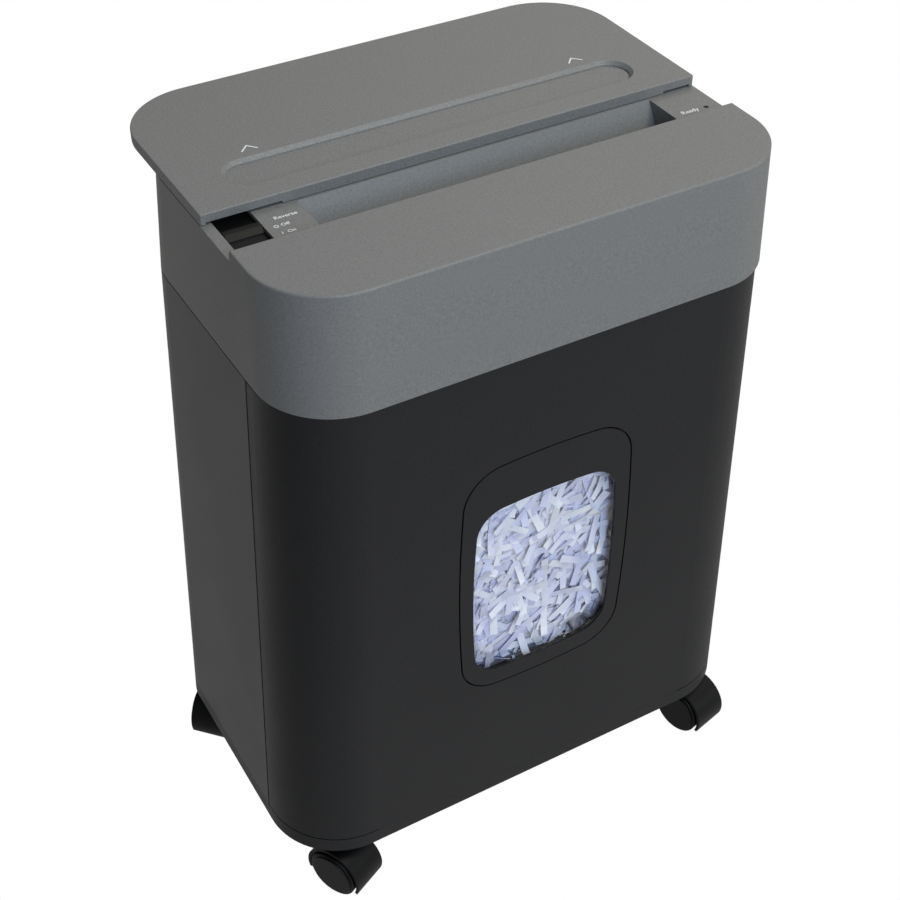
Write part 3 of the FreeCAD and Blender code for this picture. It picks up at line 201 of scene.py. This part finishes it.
def dress(material, *names):
    """Gives the named nodes one material each, in place of what they had."""
    for name in names:
        nodes[name].data.materials.clear()
        nodes[name].data.materials.append(material)


front_plastic = moulded("charcoal plastic, front", "#0f0f11", 0.50, texture=0.0011, depth=0.0003,
                        speckle=0.6, gloss=0.32)
dress(front_plastic, "base_tray")


# ---- Casters ------------------------------------------------------------------------------------------
# Each caster is a black hood over two nylon wheels. The wheels turn on a zinc plated axle, and the hood
# swivels on a plated stem in the base.
def metal(name, colour, roughness, streak=0.0015):
    """Machined metal with fine uneven polish."""
    material, tree, shader = surface(name, Base_Color=srgb(colour), Metallic=1.0)
    fine = grain(tree, streak, 4.0, 0.7)
    tree.links.new(ranged(tree, fine, roughness - 0.08, roughness + 0.08), shader.inputs["Roughness"])
    bump = add(tree, "ShaderNodeBump", Strength=0.2, Distance=0.00003)
    tree.links.new(fine, bump.inputs["Height"])
    tree.links.new(bump.outputs[0], shader.inputs["Normal"])
    return material


black_plastic = moulded("black plastic", "#070707", 0.45, speckle=0.12, gloss=0.19)
nylon = moulded("black nylon", "#070707", 0.42, texture=0.0012, depth=0.00003, gloss=0.19)
zinc_plated = metal("zinc plated steel", "#b9bcc0", 0.26)
for corner in ("front_left", "front_right", "rear_left", "rear_right"):
    dress(black_plastic, f"caster_{corner}_hood")
    dress(zinc_plated, f"caster_{corner}_stem", f"caster_{corner}_axle")
    dress(nylon, f"caster_{corner}_left_wheel", f"caster_{corner}_right_wheel")


# ---- Cabinet ------------------------------------------------------------------------------------------
# Both sides and the back are one charcoal moulding, a little lighter and glossier than the drawer's
# front. The bin's runners and the sensor that feels its magnet are clipped inside.
cabinet_plastic = moulded("charcoal plastic", "#191918", 0.50, texture=0.0011, depth=0.0003,
                          speckle=0.6, gloss=0.66)
dress(cabinet_plastic, "cabinet_shell")
dress(black_plastic, "left_bin_runner", "right_bin_runner", "bin_sensor")


# ---- Cutting unit -------------------------------------------------------------------------------------
# Two steel plates on three tie rods hold the cutters, which are ground from solid steel and turn in
# bronze bushes. A comb moulded in acetal keeps the paper out of each cutter's discs.
ground_steel = metal("ground steel", "#a9aaac", 0.34)
acetal = moulded("natural acetal", "#dcd9cd", 0.38, depth=0.00001, speckle=0.02)
dress(ground_steel, "left_side_plate", "right_side_plate", "tie_rods", "front_cutter", "back_cutter")
dress(metal("sintered bronze", "#a97e45", 0.42), "shaft_bushes")
dress(acetal, "front_stripper_comb", "back_stripper_comb")


# ---- Drive --------------------------------------------------------------------------------------------
# An enamelled motor drives the back cutter through a steel pinion, an acetal idler on a plated pin and a
# steel gear. A pair of equal gears couples the two cutters.
dress(moulded("motor enamel", "#222226", 0.35, depth=0.00002), "drive_motor")
dress(ground_steel, "motor_pinion", "cutter_gear", "front_sync_gear", "back_sync_gear")
dress(acetal, "idler_gear")
dress(zinc_plated, "idler_pin")


# ---- Head ---------------------------------------------------------------------------------------------
# The head is a grey moulded shell with apron, deck and throat, screwed down on a black tray. The cord
# leaves through a black gland in its back wall.
grey_plastic = moulded("grey plastic", "#7c7b79", 0.50, texture=0.0011, speckle=0.16)
dress(grey_plastic, "head_shell")
dress(black_plastic, "head_tray", "cord_gland")
dress(zinc_plated, "head_screws")


# ---- Controls -----------------------------------------------------------------------------------------
# The power switch is a black box with a sliding knob. The lamp's lens looks dark green while it is off.
# The paper sensor is an acetal lever on a plated pin, wired to the control board.
dress(black_plastic, "switch_body", "switch_slider")
dress(moulded("solder mask", "#14522c", 0.30, texture=0.004, depth=0.00004, speckle=0.25), "control_board")
dress(moulded("lamp lens", "#0c1a10", 0.15, depth=0.000005, speckle=0.0), "ready_lamp")
dress(acetal, "paper_sensor_lever")
dress(zinc_plated, "sensor_pin")


# ---- Cover --------------------------------------------------------------------------------------------
# The cover slides over the throat. It is moulded in the head's grey, a shade lighter, with a recess for
# the fingers.
dress(moulded("grey plastic, cover", "#7d7c7a", 0.50, texture=0.0011, speckle=0.20), "sliding_cover")


# ---- Drawer -------------------------------------------------------------------------------------------
# The drawer's front wraps both corners, in the same plastic as the base, and the window's bezel snaps
# into it. The black tub behind it is held by four plated screws, and a nickel plated magnet tells the
# cabinet's sensor that the drawer is in.
dress(front_plastic, "drawer_front", "window_bezel")
dress(black_plastic, "bin_tub")
dress(zinc_plated, "bin_screws")
dress(metal("nickel plate", "#8c8a84", 0.28), "bin_magnet")


# ---- Drawer: clear pane -------------------------------------------------------------------------------
# The window is a clear styrene moulding, held by the bezel. Its middle is sunk behind a softly rolled
# rim, so that the paper shows a little below the bezel's face.
def clear(name, tint):
    """Clear moulded plastic: it lets the light through and reflects by Fresnel, on its outer side only."""
    material = bpy.data.materials.new(name)
    material.use_nodes = True
    tree = material.node_tree
    tree.nodes.clear()
    outside = combined(tree, "SUBTRACT", 1.0, add(tree, "ShaderNodeNewGeometry").outputs["Backfacing"])
    fresnel = add(tree, "ShaderNodeFresnel", IOR=1.5)
    mix = add(tree, "ShaderNodeMixShader")
    through = add(tree, "ShaderNodeBsdfTransparent", Color=srgb(tint))
    gloss = add(tree, "ShaderNodeBsdfGlossy", Color=(1.0, 1.0, 1.0, 1.0), Roughness=0.03)
    tree.links.new(combined(tree, "MULTIPLY", fresnel.outputs[0], outside), mix.inputs[0])
    tree.links.new(through.outputs[0], mix.inputs[1])
    tree.links.new(gloss.outputs[0], mix.inputs[2])
    tree.links.new(mix.outputs[0], add(tree, "ShaderNodeOutputMaterial").inputs["Surface"])
    return material


def mesh_object(name, points, faces, material):
    """Object from an array of points, in metres, and a list of faces."""
    mesh = bpy.data.meshes.new(name)
    mesh.from_pydata(np.asarray(points, float).tolist(), [], faces)
    mesh.materials.append(material)
    mesh.update()
    made = bpy.data.objects.new(name, mesh)
    bpy.context.collection.objects.link(made)
    return made


def swept(name, points, inset, material):
    """Closed skin swept round the convex outline of a cloud of (x, z) points.

    In the direction u the outline's furthest point is p(u), and a ring of the skin that lies t inside the
    outline at depth y has the points p(u) - t u. The rows of inset are the pairs (t, y), from the middle of
    the front over the rim to the middle of the back, and the first and last ring are filled.
    """
    turns = np.linspace(0, 2 * np.pi, 180, endpoint=False)
    outward = np.stack([np.cos(turns), np.sin(turns)], 1)
    outline = points[np.argmax(points @ outward.T, axis=0)]
    rings = [np.insert(outline - t * outward, 1, y, axis=1) for t, y in inset]
    count = len(turns)
    here = np.arange(count)
    after = (here + 1) % count
    ring = np.arange(len(rings) - 1)[:, None] * count
    quads = np.stack([ring + here, ring + count + here, ring + count + after, ring + after], 2)
    last = (len(rings) - 1) * count
    faces = [here.tolist(), (last + here[::-1]).tolist()] + quads.reshape(-1, 4).tolist()
    return mesh_object(name, np.concatenate(rings), faces, material)


clear_plastic = clear("clear pane", "#fdfdff")
dress(clear_plastic, "window_pane")
flat = nodes["window_pane"]
cloud = np.array([flat.matrix_world @ vertex.co for vertex in flat.data.vertices])
pane_low, pane_high = cloud.min(0), cloud.max(0)
border, rolled, depth, thick = 0.004, 0.007, 0.0062, 0.002     # flat edge, rolled rim, dish, wall
front_y = pane_low[1]
steps = np.linspace(1, 0, 13)
slope = [(border + rolled * u, front_y + depth * u * u * (3 - 2 * u)) for u in steps]
edge_y = front_y + thick
rim = [(border, edge_y - thick / 2), (0.0, edge_y - thick / 2), (0.0, edge_y)]
behind = [(t, y + thick) for t, y in reversed(slope)]
pane = swept("rolled_pane", cloud[:, [0, 2]], slope + rim + behind, clear_plastic)
pane.data.shade_smooth()
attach(pane, "drawer")
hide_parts("window_pane")


# ---- Bin: shredded paper ------------------------------------------------------------------------------
# Loose strips of office paper lie against the window and over the top of the heap. They are cross-cut,
# and bent and twisted by the cutters. A plain block fills the inside of the heap, mostly in the paper's
# shaded colour as painted shade.
strip_length, strip_width = (0.022, 0.046), (0.0042, 0.0056)
mean_slant, slant_spread, tilt_spread, lean_spread = 0.9, 0.8, 0.13, 0.16
bend_spread, twist_spread = 5.0, 6.0                         # per metre, and radians per metre
stray = 0.004                                                # furthest a strip's end leaves its box


def shredded(name, shaded, lit):
    """White office paper, with a painted cool shade as its shaded colour; each strip's shade tone lies
    between the two.
    """
    material, tree, shader = surface(name, Roughness=0.75, IOR=1.4)
    shade_tone = add(tree, "ShaderNodeAttribute", attribute_name="shade_tone")
    tint = add(tree, "ShaderNodeMix", data_type="RGBA")
    tint.inputs["A"].default_value = srgb(shaded)
    tint.inputs["B"].default_value = srgb(lit)
    tree.links.new(shade_tone.outputs["Fac"], tint.inputs["Factor"])
    tree.links.new(tint.outputs["Result"], shader.inputs["Base Color"])
    return material


def toned(made, values):
    """Stores a shade tone from 0 to 1 at each vertex of a piece of paper, for its material: 0 is the painted
    shade.
    """
    shade_tone = made.data.attributes.new("shade_tone", "FLOAT", "POINT")
    shade_tone.data.foreach_set("value", values.astype(np.float32))
    return made


# The lavender shaded colour is painted shade: the shadows between the strips put into the paper's colour.
paper = shredded("paper", "#cfd2f4", "#fdfdff")
dress(paper, "shredded_paper")


def strips(name, count, low, high, along, seed):
    """Bent, twisted paper strips scattered in a box.

    Along its length s a strip runs as centre + s * direction + bend * s^2 * normal, and its edges stand half
    a width to either side, turned about the direction by twist * s. The direction lies near the plane whose
    two axes are given in along, and the third axis is the normal.
    """
    rng = np.random.default_rng(seed)
    axes = np.eye(3)
    first, second = axes[along[0]], axes[along[1]]
    normal = np.cross(first, second)
    centre = rng.uniform(low, high, (count, 3))
    angle = rng.normal(mean_slant, slant_spread, count)
    tilt = rng.normal(0, tilt_spread, count)
    direction = (np.cos(angle)[:, None] * first + np.sin(angle)[:, None] * second) * np.cos(tilt)[:, None] \
        + np.sin(tilt)[:, None] * normal
    across = np.cross(direction, normal + rng.normal(0, lean_spread, (count, 3)))
    across /= np.linalg.norm(across, axis=1)[:, None]
    upward = np.cross(across, direction)
    length = rng.uniform(*strip_length, count)
    width = rng.uniform(*strip_width, count)
    bend = rng.normal(0, bend_spread, count)
    twist = rng.normal(0, twist_spread, count)
    stations = 7
    points = np.empty((count, stations, 2, 3))
    for i, u in enumerate(np.linspace(-0.5, 0.5, stations)):
        s = u * length
        middle = centre + direction * s[:, None] + upward * (bend * s ** 2)[:, None]
        turn = twist * s
        side = across * np.cos(turn)[:, None] + upward * np.sin(turn)[:, None]
        for j, sign in enumerate((-0.5, 0.5)):
            points[:, i, j] = middle + side * (sign * width)[:, None]
    points = np.clip(points.reshape(-1, 3), np.array(low) - stray, np.array(high) + stray)
    first_vertex = np.arange(count)[:, None] * stations * 2 + np.arange(stations - 1)[None, :] * 2
    first_vertex = first_vertex.reshape(-1)
    faces = np.stack([first_vertex, first_vertex + 1, first_vertex + 3, first_vertex + 2], 1)
    made = mesh_object(name, points, faces.tolist(), paper)
    # Each strip's shade tone is drawn at random, so painted shade lies on strips wherever they are.
    return toned(made, np.repeat(rng.beta(2.0, 1.0, count), stations * 2))


heap_low, heap_high = (np.array(corner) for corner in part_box("shredded_paper"))
core_margin_low, core_margin_high = (0.001, 0.006, 0.001), (0.001, 0.001, 0.008)
core_low, core_high = heap_low + core_margin_low, heap_high - core_margin_high
corners = [(x, y, z) for z in (core_low[2], core_high[2]) for y in (core_low[1], core_high[1])
           for x in (core_low[0], core_high[0])]
sides = [(0, 2, 3, 1), (4, 5, 7, 6), (0, 1, 5, 4), (2, 6, 7, 3), (0, 4, 6, 2), (1, 3, 7, 5)]
# Painted shade: the block's fixed shade tone of 0.2 gives it mostly the paper's shaded colour.
core = toned(mesh_object("painted_shade_heap_core", corners, sides, paper), np.full(8, 0.2))
pane_gap, side_gap, front_layer = 0.0005, 0.001, 0.020
front_heap = strips("window_strips", 1250,
                    (pane_low[0] + side_gap, front_y + depth + thick + pane_gap, pane_low[2] + side_gap),
                    (pane_high[0] - side_gap, front_y + front_layer, pane_high[2] - side_gap), (0, 2), 11)
wall_gap, layer_low, layer_high = 0.005, 0.010, 0.003        # the layer is measured from the heap's top
top_heap = strips("heap_strips", 4200,
                  (heap_low[0] + wall_gap, heap_low[1] + wall_gap, heap_high[2] - layer_low),
                  (heap_high[0] - wall_gap, heap_high[1] - wall_gap, heap_high[2] - layer_high), (0, 1), 12)
for heap in (core, front_heap, top_heap):
    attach(heap, "drawer")
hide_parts("shredded_paper")


# ---- Head: printed marks ------------------------------------------------------------------------------
# Pale words beside the power switch and the lamp, and an arrow over each end of the finger recess. They
# are pad printed: a thin layer of ink that lies on the deck and on the cover.
ink, _, _ = surface("printed ink", Base_Color=srgb("#f4f4f2"), Roughness=0.6)
ink_thickness = 0.00004


def words(name, text, left, right, base, level, body):
    """Line of print from left to right with its foot at base, in millimetres, on a surface at level."""
    curve = bpy.data.curves.new(name, "FONT")
    curve.body = text
    curve.size = 1.0
    curve.offset = 0.018
    curve.resolution_u = 4
    draft = bpy.data.objects.new(name, curve)
    bpy.context.collection.objects.link(draft)
    bpy.context.view_layer.update()
    mesh = bpy.data.meshes.new_from_object(draft)
    bpy.data.objects.remove(draft)
    points = np.empty(len(mesh.vertices) * 3, np.float32)
    mesh.vertices.foreach_get("co", points)
    points = points.reshape(-1, 3)
    scale = (right - left) / 1000 / np.ptp(points[:, 0])
    points[:, 0] = left / 1000 + (points[:, 0] - points[:, 0].min()) * scale
    points[:, 1] = base / 1000 + points[:, 1] * scale
    points[:, 2] = level + ink_thickness
    mesh.vertices.foreach_set("co", points.reshape(-1))
    mesh.materials.append(ink)
    mesh.update()
    made = bpy.data.objects.new(name, mesh)
    bpy.context.collection.objects.link(made)
    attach(made, body)


def stroke(name, line, width, level, body, closed=False):
    """Flat line of one width through points in millimetres, mitred at its corners."""
    points = [Vector(p) / 1000 for p in line]
    count = len(points)
    edges = []
    for i, point in enumerate(points):
        before = points[i - 1] if closed or i else point - (points[1] - point)
        after = points[(i + 1) % count] if closed or i < count - 1 else point + (point - points[i - 1])
        ahead, behind = (after - point).normalized(), (point - before).normalized()
        along = (ahead + behind).normalized()
        reach = width / 2000 / max(along.dot(ahead), 0.3)
        side = Vector((-along.y, along.x)) * reach
        edges.append((point + side, point - side))
    z = level + ink_thickness
    corners = [(p.x, p.y, z) for pair in edges for p in pair]
    last = count if closed else count - 1
    faces = [(2 * i, 2 * i + 1, 2 * ((i + 1) % count) + 1, 2 * ((i + 1) % count)) for i in range(last)]
    made = mesh_object(name, corners, faces, ink)
    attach(made, body)


deck = float(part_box("ready_lamp")[1][2]) + 0.0006
fine_line, arrow_line = 0.5, 0.95
words("word_reverse", "Reverse", -122.9, -109.6, -21.8, deck, "housing")
words("word_off", "Off", -122.3, -117.2, -29.3, deck, "housing")
words("word_on", "On", -121.9, -117.3, -36.6, deck, "housing")
off_x, off_y, off_radius = -125.2, -28.2, 1.15
circle = [(off_x + off_radius * math.cos(math.radians(turn)),
           off_y + off_radius * math.sin(math.radians(turn))) for turn in range(0, 360, 20)]
stroke("mark_off", circle, fine_line, deck, "housing", closed=True)
on_x, on_foot, on_top = -124.9, -36.6, -34.3
stroke("mark_on", [(on_x, on_foot), (on_x, on_top)], fine_line, deck, "housing")
words("word_ready", "Ready", 133.8, 145.6, -35.4, deck, "housing")
cover_top = float(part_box("sliding_cover")[1][2])
arrow_x, arrow_half, arrow_foot, arrow_tip = 108.4, 4.9, 41.3, 46.6
for side, name in ((-1, "left_arrow"), (1, "right_arrow")):
    middle = side * arrow_x
    stroke(name, [(middle - arrow_half, arrow_foot), (middle, arrow_tip), (middle + arrow_half, arrow_foot)],
           arrow_line, cover_top, "cover")
